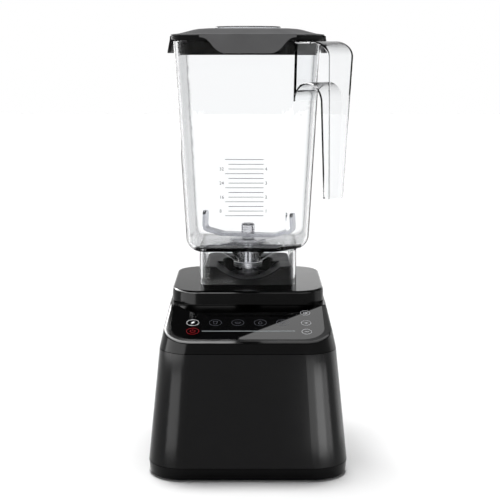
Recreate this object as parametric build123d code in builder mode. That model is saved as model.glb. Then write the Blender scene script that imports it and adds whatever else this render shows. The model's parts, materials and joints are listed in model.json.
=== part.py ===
"""Countertop blender: a tapered motor base with a sloping touch panel, a clear five-sided jar with a
free-ended corner handle, a blunt wing-tip blade, a two-part gripper lid and a clear centre cap.

Millimetres. +Z is up, -Y is the front, and the drive axis is the Z axis. The feet stand on Z = 0.
"""

import os
from math import atan2, cos, degrees, radians, sin, sqrt

from build123d import *

os.makedirs("parts", exist_ok=True)

# ---------------------------------------------------------------- driving dimensions
# Motor base: half-width in X, then front and back in Y and the plan's corner radius
FOOT_H, PLATE_TOP, PLATE_FLOOR = 1.0, 11.6, 3.0
HOUSING_BOTTOM, HOUSING_TOP, COVER_BOTTOM = 12.0, 112.8, 113.3
DECK_FOOT, DECK_TOP = 142.8, 155.0
WALL = 2.8
BOTTOM = (88.4, -146.0, 70.0, 32.0)
TOP = (77.9, -141.0, 63.0, 28.0)
SHOULDER = (71.2, -139.4, 60.3, 27.0)
DECK_LOW = (70.6, -74.2, 59.6, 26.0)
DECK_HIGH = (69.8, -73.4, 58.8, 25.4)
PANEL_FRONT_Y, PANEL_FRONT_Z = -138.0, 124.2
PANEL_TILT = degrees(atan2(DECK_FOOT - PANEL_FRONT_Z, DECK_LOW[1] - PANEL_FRONT_Y))
PANEL_HALF, PANEL_FROM, PANEL_TO, PANEL_R, PANEL_THICK = 67.4, 3.4, 64.0, 20.0, 2.0

# Jar seat on the deck
SEAT_HALF, SEAT_R, SEAT_TOP, WELL_FLOOR = 42.2, 10.5, 172.0, 157.6
WELL_R, SOCKET_HOLE_R = 24.0, 13.0
SCOOP_LOW, SCOOP_R = 160.2, 43.5
SCOOP_HALF = sqrt(SCOOP_R ** 2 - (SCOOP_R - SEAT_TOP + SCOOP_LOW) ** 2)

# Jar: outer half-widths at the floor's underside and at the rim, and its cut front right corner
JAR_UNDER, JAR_FLOOR, JAR_RIM = 186.5, 190.0, 380.0
JAR_HALF_LOW, JAR_HALF_RIM = 56.8, 67.2
JAR_WALL, JAR_CUT, JAR_R, JAR_CUT_R = 3.3, 27.0, 19.0, 15.0
JAR_BEND, JAR_BEND_IN = 13.5, 9.5
JAR_FOOT_HALF, JAR_FOOT_WALL, JAR_FOOT_LOW = 45.4, 2.4, 155.3
JAR_HUB_R, JAR_BORE_R, JAR_HUB_LOW = 13.4, 11.3, 170.5
RIB_R = 37.0

# Handle, measured from the drive axis along the jar's cut corner
GRIP_TOP, GRIP_END, ARCH_LOW, ARCH_LIP = 379.7, 241.0, 326.4, 1.2
GRIP_OUT_TOP, GRIP_OUT_END, GRIP_IN = 116.2, 112.0, 104.0
GRIP_HALF_TOP, GRIP_HALF_END, GRIP_WALL, GRIP_EDGE = 17.0, 10.0, 2.0, 1.4
GRIP_ROUND_OUT, GRIP_ROUND_DOWN = 22.0, 14.0

# Lid cover, the soft seal under it and the centre cap
LID_HALF, LID_CUT, LID_R = 69.4, 25.0, 20.0
LIP_LOW, LIP_TOP, LID_LOW, LID_TOP = 381.0, 384.7, 384.9, 391.5
FLAP_LOW, FLAP_OUT, FLAP_THICK = 369.0, 74.4, 3.2
PLUG_LOW, PLUG_HALF, PLUG_RIB_HALF, PLUG_WALL = 367.6, 61.3, 62.8, 3.2
CAP_HOLE_R, CAP_R, CAP_FLANGE_R, CAP_LOW, CAP_TOP = 26.4, 26.1, 31.0, 371.0, 393.6

# Blade and its shaft
BLADE_TURN = -14.0
BLADE_THICK, BLADE_CHORD, BLADE_TIP, BLADE_ROOT, BLADE_HUB_R = 3.2, 12.0, 218.6, 196.7, 6.4
SHAFT_R, SPLINE_R, SPLINE_TOOTH, SPLINE_TEETH = 4.0, 4.1, 1.2, 8
SPLINE_LOW, SPLINE_HIGH, SHAFT_TOP = 146.5, 165.0, 201.0
RUNNING_GAP = 0.06  # radial clearance of a turning fit

# Motor
CORE_LOW, CORE_HIGH, CORE_R, POLE_R = 40.0, 84.0, 25.5, 26.2
COMM_LOW, COMM_HIGH, COMM_R = 105.0, 122.0, 16.0
MOTOR_SHAFT_R, MOTOR_SHAFT_LOW, MOTOR_SHAFT_HIGH = 4.0, 9.5, 143.5
SOCKET_LOW, SOCKET_HIGH, SOCKET_R = 137.5, 160.0, 10.0
YOKE_X, YOKE_Y, YOKE_WALL = 50.0, 38.0, 8.0
BOLT_X, BOLT_Y, BOLT_R, BOLT_HOLE_R, LEG_R = 45.0, 33.0, 2.0, 2.3, 4.8
UPPER_PLATE, LOWER_PLATE = (134.6, 138.0), (16.0, 20.0)
UPPER_BEARING, LOWER_BEARING, BEARING_R = (126.8, 133.8), (9.0, 15.6), 11.0

CORNERS = [(sx, sy) for sx in (-1, 1) for sy in (-1, 1)]
BOLTS = [(sx * BOLT_X, sy * BOLT_Y) for sx, sy in CORNERS]
FEET = [(-62, -116), (62, -116), (-62, 42), (62, 42), (0, 0)]
BASE_SCREWS = [(-74, -92), (74, -92), (-74, 26), (74, 26)]
COVER_SCREWS = [(-60, -102), (60, -102), (-60, 36), (60, 36)]
SEAT_SCREWS = [(sx * 33.0, sy * 33.0) for sx, sy in CORNERS]
BOARD_Z = 15.8
BOARD_POSTS = [(sx * 52.0, -92.0 + sy * 26.0) for sx, sy in CORNERS]
UP = (Align.CENTER, Align.CENTER, Align.MIN)


# ---------------------------------------------------------------- shared outlines
def outline(z, sizes, inset=0.0):
    """A rounded rectangle at height z, from (half-width, front, back, corner radius)."""
    half_x, front, back, radius = sizes
    with BuildSketch(Plane.XY.offset(z)) as sketch:
        with Locations((0, (front + back) / 2)):
            RectangleRounded(2 * (half_x - inset), back - front - 2 * inset, radius - inset)
    return sketch.sketch


def square(z, half, radius):
    """A rounded square at height z, centred on the drive axis."""
    return outline(z, (half, -half, half, radius))


def five_sided(z, half, cut, radius, cut_radius):
    """A rounded square at height z whose front right corner is cut off at 45 degrees."""
    with BuildSketch(Plane.XY.offset(z)) as sketch:
        with BuildLine():
            Polyline(
                (-half, -half), (half - cut, -half), (half, cut - half), (half, half),
                (-half, half), close=True,
            )
        make_face()
        square_corners = sketch.vertices().filter_by(lambda v: v.X < 0 or v.Y > 0)
        fillet(square_corners, radius)
        cut_corners = sketch.vertices().filter_by(lambda v: v.X > 0 > v.Y)
        fillet(cut_corners, cut_radius)
    return sketch.sketch


def jar_half(z):
    """The jar's outer half-width at height z: its walls lean out at one constant draft."""
    return JAR_HALF_LOW + (z - JAR_UNDER) / (JAR_RIM - JAR_UNDER) * (JAR_HALF_RIM - JAR_HALF_LOW)


def jar_outline(z, inset=0.0):
    """The jar's five-sided plan at height z, or the same plan inset for its inside."""
    cut = JAR_CUT - (2 - sqrt(2)) * inset
    return five_sided(z, jar_half(z) - inset, cut, JAR_R - inset, JAR_CUT_R - inset)


def radial(angle):
    """The upright plane through the drive axis at this bearing: x is the radius and y the height."""
    a = radians(angle)
    return Plane(origin=(0, 0, 0), x_dir=(cos(a), sin(a), 0), z_dir=(sin(a), -cos(a), 0))


def across(angle):
    """The upright plane square to that bearing: x runs across it and y is the height."""
    return radial(angle + 90)


def panel_plane(drop=0.0):
    """The sloping panel's plane, origin at its front middle, lowered by drop along its normal."""
    plane = Plane(origin=(0, PANEL_FRONT_Y, PANEL_FRONT_Z)).rotated((PANEL_TILT, 0, 0))
    return plane.offset(-drop)


def panel_outline(grow=0.0, drop=0.0):
    """The touch panel's outline on its own plane: square at the deck and rounded at the front."""
    with BuildSketch(panel_plane(drop)) as sketch:
        with Locations((0, (PANEL_FROM + PANEL_TO) / 2)):
            Rectangle(2 * (PANEL_HALF + grow), PANEL_TO - PANEL_FROM + 2 * grow)
        fillet(sketch.vertices().sort_by(Axis.Y)[:2], PANEL_R + grow)
    return sketch.sketch


def save(part, name):
    """Label one finished piece and write it out."""
    part.label = name
    export_step(part, f"parts/{name}.step")


# ================================================================ motor base, casing
with BuildPart() as base_plate:
    loft([outline(FOOT_H, BOTTOM, 1.2), outline(PLATE_TOP, BOTTOM)], ruled=True)
    fillet(base_plate.edges().group_by(Axis.Z)[0], 1.2)
    extrude(outline(PLATE_TOP, BOTTOM, 3.6), amount=3.8)
    extrude(outline(FOOT_H + PLATE_FLOOR, BOTTOM, 5.6), amount=30, mode=Mode.SUBTRACT)
    with BuildSketch(Plane.XY.offset(FOOT_H)):
        with Locations(*FEET):
            Circle(11.3)
    extrude(amount=1.5, mode=Mode.SUBTRACT)
    with BuildSketch(Plane.XY.offset(FOOT_H)):
        with Locations(*BASE_SCREWS):
            Circle(4.0)
    extrude(amount=1.5, mode=Mode.SUBTRACT)
    with BuildSketch(Plane.XY.offset(FOOT_H)):
        with Locations(*BASE_SCREWS):
            Circle(2.0)
        for side in (-1, 1):
            with Locations((side * 34.0, 0)):
                with GridLocations(7.0, 0, 5, 1):
                    SlotOverall(44, 3.0, rotation=90)
    extrude(amount=PLATE_FLOOR, mode=Mode.SUBTRACT)
    with BuildSketch(Plane.XY.offset(FOOT_H + PLATE_FLOOR)):
        with Locations(*BOARD_POSTS):
            Circle(3.5)
    extrude(amount=BOARD_Z - 0.3 - FOOT_H - PLATE_FLOOR)

with BuildPart() as rubber_feet:
    for x, y in FEET:
        with Locations((x, y, 0)):
            Cone(9.5, 11.0, FOOT_H + 1.2, align=UP)

with BuildPart() as base_screws:
    with Locations(*[(x, y, FOOT_H + 0.2) for x, y in BASE_SCREWS]):
        Cylinder(3.6, 1.0, align=UP)
    with Locations(*[(x, y, FOOT_H + 1.2) for x, y in BASE_SCREWS]):
        Cylinder(1.6, 16.0, align=UP)

GLAND_X, GLAND_Z, GLAND_R, GLAND_BORE_R = 42.0, 26.0, 7.0, 3.6

with BuildPart() as housing:
    loft([outline(HOUSING_BOTTOM, BOTTOM), outline(HOUSING_TOP, TOP)], ruled=True)
    loft(
        [outline(HOUSING_BOTTOM, BOTTOM, WALL), outline(HOUSING_TOP, TOP, WALL)],
        ruled=True, mode=Mode.SUBTRACT,
    )
    # Screw bosses at the foot, each held to the side wall by a web.
    with Locations(*[(x, y, 5.8) for x, y in BASE_SCREWS]):
        Cylinder(4.6, 30.0, align=UP)
    with Locations(*[(x * 79.0 / abs(x), y, 16.0) for x, y in BASE_SCREWS]):
        Box(13.0, 2.4, 19.0, align=UP)
    with Locations(*[(x, y, 5.8) for x, y in BASE_SCREWS]):
        Cylinder(1.9, 18.0, align=UP, mode=Mode.SUBTRACT)
    # Tabs at the top that the cover screws pass through.
    with Locations(*[(x * 66.0 / abs(x), y, 104.0) for x, y in COVER_SCREWS]):
        Box(23.0, 14.0, 3.0, align=UP)
    with Locations(*[(x, y, 103.0) for x, y in COVER_SCREWS]):
        Cylinder(1.9, 6.0, align=UP, mode=Mode.SUBTRACT)
    # Louvres and the cord gland's hole, both in the back wall.
    with BuildSketch(Plane.XZ.offset(-52)):
        with Locations((0, 66)):
            with GridLocations(0, 6.5, 1, 7):
                SlotOverall(64, 2.6)
        with Locations((GLAND_X, GLAND_Z)):
            Circle(GLAND_R + 0.3)
    extrude(amount=-30.0, mode=Mode.SUBTRACT)

with BuildPart() as cord_gland:
    with BuildSketch(Plane.XZ.offset(-58.0)):
        with Locations((GLAND_X, GLAND_Z)):
            Circle(GLAND_R)
            Circle(GLAND_BORE_R, mode=Mode.SUBTRACT)
    extrude(amount=-13.0)
    with BuildSketch(Plane.XZ.offset(-70.0)):
        with Locations((GLAND_X, GLAND_Z)):
            Circle(GLAND_R + 2.4)
            Circle(GLAND_BORE_R, mode=Mode.SUBTRACT)
    extrude(amount=-2.6)
    fillet(cord_gland.edges().group_by(Axis.Y)[-1], 0.8)


def cover_form(inset):
    """The top cover's outside form, or the same form inset for its hollow."""
    low = COVER_BOTTOM if inset == 0 else COVER_BOTTOM - 1.0
    body = loft([outline(low, TOP, inset), outline(DECK_FOOT, SHOULDER, inset)], ruled=True)
    with BuildSketch(panel_plane(inset)) as slope:
        with Locations((0, -10)):
            Rectangle(200, 200)
    body -= extrude(slope.sketch, amount=60)
    deck = loft(
        [outline(DECK_FOOT - 14, DECK_LOW, inset), outline(DECK_TOP - inset, DECK_HIGH, inset)],
        ruled=True,
    )
    return body + deck


cover_outside = cover_form(0.0)
deck_rim = cover_outside.edges().filter_by(lambda e: abs(e.center().Z - DECK_TOP) < 0.05)
cover_outside = fillet(deck_rim, 2.2)
cover_inside = cover_form(WALL)

with BuildPart() as top_cover:
    add(cover_outside)
    # The shoulder round the panel, rounded over along the slope's sides and front.
    panel_rim = top_cover.edges().filter_by(
        lambda e: COVER_BOTTOM + 4 < e.center().Z < DECK_FOOT - 1.2
        and e.center().Y < -70 and abs(e.center().X) + abs(e.center().Y + 74) > 62
    )
    fillet(panel_rim, 2.4)
    add(cover_inside, mode=Mode.SUBTRACT)
    # A closed floor under the touch panel's recess.
    extrude(panel_outline(2.4), amount=-PANEL_THICK - 2.6)
    extrude(panel_outline(0.3), amount=-PANEL_THICK, mode=Mode.SUBTRACT)
    # The locating lip that reaches down inside the housing.
    extrude(outline(COVER_BOTTOM, TOP, 1.4), amount=3.0)
    extrude(outline(COVER_BOTTOM - 4.5, TOP, WALL + 0.4), amount=4.5)
    extrude(outline(COVER_BOTTOM - 5, TOP, 5.4), amount=8.2, mode=Mode.SUBTRACT)
    # Posts for the cover screws and for the motor's bolts.
    with Locations(*[(x, y, 107.4) for x, y in COVER_SCREWS[:2]]):
        Cylinder(4.6, 22.6, align=UP)
    with Locations(*[(x, y, 107.4) for x, y in COVER_SCREWS[2:]]):
        Cylinder(4.6, 45.6, align=UP)
    with Locations(*[(x, y, 107.4) for x, y in COVER_SCREWS]):
        Cylinder(1.9, 14.0, align=UP, mode=Mode.SUBTRACT)
    with Locations(*[(x, y, 142.0) for x, y in BOLTS]):
        Cylinder(LEG_R, 11.0, align=UP)
        Cylinder(BOLT_HOLE_R, 9.0, align=UP, mode=Mode.SUBTRACT)
    # The opening below the drive socket, and the jar seat's screw holes.
    with Locations((0, 0, 140.0)):
        Cylinder(WELL_R + 3.0, 20.0, align=UP, mode=Mode.SUBTRACT)
    with Locations(*[(x, y, 150.0) for x, y in SEAT_SCREWS]):
        Cylinder(1.9, 8.0, align=UP, mode=Mode.SUBTRACT)

with BuildPart() as touch_panel:
    extrude(panel_outline(0.0, 0.1), amount=-PANEL_THICK + 0.4)

with BuildPart() as cover_screws:
    with Locations(*[(x, y, 101.4) for x, y in COVER_SCREWS]):
        Cylinder(3.4, 2.2, align=UP)
    with Locations(*[(x, y, 103.6) for x, y in COVER_SCREWS]):
        Cylinder(1.6, 15.0, align=UP)

for name, piece in {
    "base_plate": base_plate, "rubber_feet": rubber_feet, "base_screws": base_screws,
    "housing": housing, "cord_gland": cord_gland, "top_cover": top_cover,
    "touch_panel": touch_panel, "cover_screws": cover_screws,
}.items():
    save(piece.part, name)

# ================================================================ jar seat
with BuildPart() as jar_seat:
    loft(
        [square(DECK_TOP + 0.3, SEAT_HALF, SEAT_R), square(SEAT_TOP, SEAT_HALF - 0.6, SEAT_R)],
        ruled=True,
    )
    fillet(jar_seat.edges().group_by(Axis.Z)[-1], 2.0)
    extrude(square(DECK_TOP, SEAT_HALF - 3.0, SEAT_R - 3.0), amount=14.0, mode=Mode.SUBTRACT)
    with Locations((0, 0, DECK_TOP + 0.3)):
        Cylinder(WELL_R + 2.4, SEAT_TOP - DECK_TOP - 1.0, align=UP)
    # A scoop across the front between its two posts, so that spills run out.
    with Locations((0, -SEAT_HALF / 2 - 2.0, DECK_TOP + 0.3)):
        Box(2 * SCOOP_HALF + 4.0, SEAT_HALF - 8.0, SEAT_TOP - DECK_TOP - 1.0, align=UP)
    with BuildSketch(Plane.XZ.offset(10.0)):
        with Locations((0, SCOOP_LOW + SCOOP_R)):
            Circle(SCOOP_R)
    extrude(amount=SEAT_HALF, mode=Mode.SUBTRACT)
    scoop_edge = jar_seat.edges().filter_by(
        lambda e: e.center().Y < 1.0 - SEAT_HALF and SCOOP_LOW - 1 < e.center().Z < SCOOP_LOW + 4
    )
    fillet(scoop_edge, 1.2)
    with Locations((0, 0, WELL_FLOOR)):
        Cylinder(WELL_R, 20.0, align=UP, mode=Mode.SUBTRACT)
    with Locations((0, 0, DECK_TOP)):
        Cylinder(SOCKET_HOLE_R, 10.0, align=UP, mode=Mode.SUBTRACT)
    fillet(
        jar_seat.edges().filter_by(GeomType.CIRCLE).filter_by(
            lambda e: abs(e.center().Z - SEAT_TOP) < 0.05 and abs(e.radius - WELL_R) < 0.05
        ),
        1.4,
    )
    with Locations(*[(x, y, DECK_TOP + 0.3) for x, y in SEAT_SCREWS]):
        Cylinder(4.2, 14.0, align=UP)
        Cylinder(1.9, 11.0, align=UP, mode=Mode.SUBTRACT)

with BuildPart() as seat_screws:
    with Locations(*[(x, y, 149.8) for x, y in SEAT_SCREWS]):
        Cylinder(3.4, 2.0, align=UP)
    with Locations(*[(x, y, 151.8) for x, y in SEAT_SCREWS]):
        Cylinder(1.6, 13.0, align=UP)

for name, piece in {"jar_seat": jar_seat, "seat_screws": seat_screws}.items():
    save(piece.part, name)

# ================================================================ jar
jar_inside = loft([jar_outline(JAR_FLOOR, JAR_WALL), jar_outline(JAR_RIM + 2, JAR_WALL)], ruled=True)
jar_inside = fillet(jar_inside.edges().group_by(Axis.Z)[0], JAR_BEND_IN)

with BuildPart() as jar_body:
    loft([jar_outline(JAR_UNDER), jar_outline(JAR_RIM)], ruled=True)
    fillet(jar_body.edges().group_by(Axis.Z)[0], JAR_BEND)
    add(jar_inside, mode=Mode.SUBTRACT)
    fillet(jar_body.edges().filter_by(lambda e: abs(e.center().Z - JAR_RIM) < 0.05), 1.0)
    # The square foot that drops over the jar seat.
    extrude(
        square(JAR_FOOT_LOW, JAR_FOOT_HALF, 12.0)
        - square(JAR_FOOT_LOW, JAR_FOOT_HALF - JAR_FOOT_WALL, 12.0 - JAR_FOOT_WALL),
        amount=JAR_UNDER + 1.0 - JAR_FOOT_LOW,
    )
    # The hub round the bearing housing and its cone of ribs.
    with Locations((0, 0, JAR_HUB_LOW)):
        Cylinder(JAR_HUB_R, JAR_UNDER + 1.0 - JAR_HUB_LOW, align=UP)
    with BuildSketch(Plane.XZ):
        with BuildLine():
            Polyline(
                (0, JAR_HUB_LOW + 0.4), (JAR_HUB_R - 1, JAR_HUB_LOW + 0.4), (RIB_R, JAR_UNDER - 0.6),
                (RIB_R, JAR_UNDER + 1.0), (0, JAR_UNDER + 1.0), close=True,
            )
        make_face()
    rib = extrude(amount=0.8, both=True, mode=Mode.PRIVATE)
    with PolarLocations(0, 16):
        add(rib)
    with Locations((0, 0, 160.0)):
        Cylinder(JAR_BORE_R, 40.0, align=UP, mode=Mode.SUBTRACT)

GRIP = radial(-45)
GRIP_ACROSS = across(-45)


def wall_out(z):
    """Distance from the drive axis to the outside of the jar's cut corner at height z."""
    return (2 * jar_half(z) - JAR_CUT) / sqrt(2)


def grip_taper(inset, low, high):
    """The handle's width seen from outside: wide at the top and narrow at its free end."""
    slope = (GRIP_HALF_TOP - GRIP_HALF_END) / (GRIP_TOP - GRIP_END)
    at_low = GRIP_HALF_END + (low - GRIP_END) * slope - inset
    at_high = GRIP_HALF_END + (high - GRIP_END) * slope - inset
    with BuildSketch(GRIP_ACROSS) as sketch:
        with BuildLine():
            Polyline((-at_low, low), (at_low, low), (at_high, high), (-at_high, high), close=True)
        make_face()
    return extrude(sketch.sketch, amount=130, mode=Mode.PRIVATE)


ARCH_OUT = wall_out(ARCH_LOW) + 0.3
ARCH_R = (GRIP_IN - ARCH_OUT - ARCH_LIP) / 2
ARCH_MID = GRIP_IN - ARCH_R


def grip_view(inset, low):
    """The handle's side view: x is the distance from the drive axis and y the height."""
    with BuildSketch() as view:
        with BuildLine():
            Polyline(
                (GRIP_IN + inset, low), (GRIP_IN + inset, ARCH_LOW), (ARCH_OUT + inset, ARCH_LOW),
                (wall_out(GRIP_TOP) + 0.3 + inset, GRIP_TOP - inset),
                (GRIP_OUT_TOP - GRIP_ROUND_OUT, GRIP_TOP - inset),
            )
            # The top's outer edge falls away in a quarter of an ellipse.
            EllipticalCenterArc(
                (GRIP_OUT_TOP - GRIP_ROUND_OUT, GRIP_TOP - GRIP_ROUND_DOWN),
                GRIP_ROUND_OUT - inset, GRIP_ROUND_DOWN - inset, start_angle=0, arc_size=90,
            )
            Polyline(
                (GRIP_OUT_TOP - inset, GRIP_TOP - GRIP_ROUND_DOWN), (GRIP_OUT_END - inset, low),
                (GRIP_IN + inset, low),
            )
        make_face()
        with Locations((ARCH_MID, ARCH_LOW)):
            Circle(ARCH_R + inset, mode=Mode.SUBTRACT)
    return view.sketch


def grip_form(inset, low):
    """The handle's solid form, or the same form inset for its hollow."""
    with BuildPart() as form:
        with BuildSketch(GRIP.offset(-40)):
            add(grip_view(inset, low))
        extrude(amount=80)
        add(grip_taper(inset, low - 4, GRIP_TOP + 4), mode=Mode.INTERSECT)
    return form.part


with BuildPart() as jar_handle:
    add(grip_form(0.0, GRIP_END))
    long_edges = jar_handle.edges().filter_by(
        lambda e: abs(e.center().X + e.center().Y) > 8.0
        and e.center().X - e.center().Y > (ARCH_OUT + 2 * ARCH_LIP) * sqrt(2)
        and e.center().Z > GRIP_END + 1
    )
    fillet(long_edges, GRIP_EDGE)
    # The grip and its bridge are hollow, open at the free end.
    add(grip_form(GRIP_WALL, GRIP_END - 1), mode=Mode.SUBTRACT)

for name, piece in {"jar_body": jar_body, "jar_handle": jar_handle}.items():
    save(piece.part, name)

# ================================================================ jar bearing and blade
with BuildPart() as bearing_housing:
    with Locations((0, 0, 164.8)):
        Cylinder(11.0, JAR_FLOOR + 0.3 - 164.8, align=UP)
    with BuildSketch(Plane.XY.offset(JAR_FLOOR + 0.3)):
        RegularPolygon(17.4, 6, major_radius=True)
    extrude(amount=2.2)
    fillet(bearing_housing.edges().group_by(Axis.Z)[-1], 0.6)
    with Locations((0, 0, 160.0)):
        Cylinder(8.2, 28.0, align=UP, mode=Mode.SUBTRACT)
        Cylinder(5.6, 40.0, align=UP, mode=Mode.SUBTRACT)

with BuildPart() as housing_nut:
    # A ridged ring nut with spanner notches in its lower face.
    with Locations((0, 0, 165.2)):
        Cylinder(12.8, 5.0, align=UP)
    for low in (165.2, 167.3, 169.4):
        with Locations((0, 0, low)):
            Cylinder(13.8, 0.8, align=UP)
    with PolarLocations(12.8, 6):
        with Locations((0, 0, 164.0)):
            Box(4.0, 2.4, 2.4, align=UP, mode=Mode.SUBTRACT)
    with Locations((0, 0, 160.0)):
        Cylinder(11.3, 20.0, align=UP, mode=Mode.SUBTRACT)

with BuildPart() as jar_bearings:
    for low in (168.0, 180.6):
        with Locations((0, 0, low)):
            Cylinder(7.9, 6.4, align=UP)
            Cylinder(SHAFT_R + RUNNING_GAP, 6.4, align=UP, mode=Mode.SUBTRACT)
            with BuildSketch(Plane.XY.offset(low + 5.6)):
                Circle(6.9)
                Circle(5.1, mode=Mode.SUBTRACT)
        extrude(amount=0.8, mode=Mode.SUBTRACT)

with BuildPart() as shaft_seal:
    with Locations((0, 0, 188.4)):
        Cylinder(5.3, 4.4, align=UP)
        Cylinder(SHAFT_R + RUNNING_GAP, 4.4, align=UP, mode=Mode.SUBTRACT)

with BuildPart() as blade_shaft:
    with Locations((0, 0, SPLINE_HIGH)):
        Cylinder(SHAFT_R, SHAFT_TOP - SPLINE_HIGH, align=UP)
    with BuildSketch(Plane.XY.offset(SPLINE_LOW)):
        Circle(SPLINE_R)
        with PolarLocations(SPLINE_R, SPLINE_TEETH):
            Rectangle(2 * SPLINE_TOOTH, SPLINE_TOOTH)
    extrude(amount=SPLINE_HIGH - SPLINE_LOW)
    chamfer(blade_shaft.faces().sort_by(Axis.Z)[0].edges(), 0.3)

with BuildPart() as blade:
    # Flat at the root, rising gently to a bend, and then a blunt upright wing at each end.
    with BuildSketch(radial(BLADE_TURN)):
        with BuildLine() as blade_line:
            FilletPolyline(
                (-42.3, BLADE_TIP), (-43.2, 201.0), (-25.0, BLADE_ROOT), (25.0, BLADE_ROOT),
                (43.2, 201.0), (42.3, BLADE_TIP), radius=5.0,
            )
        trace(blade_line.line, BLADE_THICK)
    extrude(amount=BLADE_CHORD / 2, both=True)
    with Locations((0, 0, 190.0)):
        Cylinder(SHAFT_R + 0.3, 20.0, align=UP, mode=Mode.SUBTRACT)
    tips = blade.edges().filter_by(lambda e: e.center().Z > BLADE_TIP - 1.0 and e.length < 4.0)
    fillet(tips, 4.0)

with BuildPart() as blade_hub:
    # The spacer below the blade and the domed nut above it.
    with Locations((0, 0, 193.1)):
        Cylinder(BLADE_HUB_R, BLADE_ROOT - BLADE_THICK / 2 - 0.3 - 193.1, align=UP)
    with Locations((0, 0, BLADE_ROOT + BLADE_THICK / 2 + 0.3)):
        Cylinder(BLADE_HUB_R, 9.0, align=UP)
    fillet(blade_hub.edges().group_by(Axis.Z)[-1], 2.0)
    with Locations((0, 0, 190.0)):
        Cylinder(SHAFT_R + 0.3, SHAFT_TOP + 0.4 - 190.0, align=UP, mode=Mode.SUBTRACT)

for name, piece in {
    "bearing_housing": bearing_housing, "housing_nut": housing_nut, "jar_bearings": jar_bearings,
    "shaft_seal": shaft_seal, "blade_shaft": blade_shaft, "blade": blade, "blade_hub": blade_hub,
}.items():
    save(piece.part, name)

# ================================================================ lid and centre cap
FLAP_TOP_HALF, FLAP_LOW_HALF = 43.0, 20.7


def flap_profile(root_z, root_y, plane):
    """A flap's section on this plane: it leaves the edge at root_z, hangs down and flares outwards."""
    with BuildSketch(plane) as sketch:
        with BuildLine():
            Polyline(
                (-FLAP_OUT, FLAP_LOW), (-root_y - 1.6, root_z - 0.4), (-root_y, root_z),
                (-root_y + 4.0, root_z), (-root_y + 4.0, root_z - 2.0), (-root_y - 0.3, LIP_LOW),
                (-FLAP_OUT + FLAP_THICK, FLAP_LOW), close=True,
            )
        make_face()
    return sketch.sketch


def flap_front(top_z):
    """A flap's outline seen from outside: wide at the top, with S-shaped sides."""
    with BuildSketch(Plane.XZ) as sketch:
        with BuildLine():
            for side in (-1, 1):
                Spline(
                    (side * FLAP_TOP_HALF, LIP_TOP - 1.6), (side * 31.8, 376.2),
                    (side * FLAP_LOW_HALF, FLAP_LOW), tangents=[(-side, 0), (-side, -0.15)],
                )
            Line((-FLAP_LOW_HALF, FLAP_LOW), (FLAP_LOW_HALF, FLAP_LOW))
            Line((FLAP_TOP_HALF, LIP_TOP - 1.6), (FLAP_TOP_HALF, top_z))
            Line((FLAP_TOP_HALF, top_z), (-FLAP_TOP_HALF, top_z))
            Line((-FLAP_TOP_HALF, top_z), (-FLAP_TOP_HALF, LIP_TOP - 1.6))
        make_face()
    return sketch.sketch


with BuildPart() as cover_flap:
    extrude(flap_profile(LID_LOW + 1.2, LID_HALF, Plane.YZ), amount=FLAP_TOP_HALF + 4, both=True)
    extrude(flap_front(LID_LOW + 1.2), amount=90, mode=Mode.INTERSECT)
    # Only what is outside the seal's lip or above it belongs to the cover.
    with Locations((0, 0, LID_LOW)):
        Box(200, 2 * LID_HALF, 40, align=(Align.CENTER, Align.CENTER, Align.MAX), mode=Mode.SUBTRACT)

with BuildPart() as seal_flap:
    extrude(flap_profile(LIP_TOP, LID_HALF - 0.6, Plane.YZ), amount=FLAP_TOP_HALF + 4, both=True)
    extrude(flap_front(LIP_TOP), amount=90, mode=Mode.INTERSECT)

with BuildPart() as lid:
    # The hard cover: its crown is nearly flat at the edge, rises in an S and is flat on top.
    extrude(five_sided(LID_LOW, LID_HALF, LID_CUT, LID_R, LID_R - 5), amount=0.8)
    loft(
        [
            five_sided(LID_LOW + 0.8, LID_HALF, LID_CUT, LID_R, LID_R - 5),
            five_sided(LID_LOW + 1.7, 62.4, 22.4, LID_R - 1, LID_R - 6),
            five_sided(LID_LOW + 3.4, 56.0, 20.0, LID_R - 2, LID_R - 7),
            five_sided(LID_LOW + 5.2, 49.6, 17.6, LID_R - 3, LID_R - 8),
            five_sided(LID_LOW + 6.0, 45.4, 16.0, LID_R - 4, LID_R - 9),
            five_sided(LID_TOP, 38.0, 13.0, LID_R - 5, LID_R - 10),
        ],
        ruled=True,
    )
    with PolarLocations(0, 2):
        add(cover_flap.part)
    extrude(five_sided(LID_LOW, 47.0, 17.0, LID_R - 6, LID_R - 11), amount=3.2, mode=Mode.SUBTRACT)
    with Locations((0, 0, 370.0)):
        Cylinder(CAP_HOLE_R, 40.0, align=UP, mode=Mode.SUBTRACT)

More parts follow.
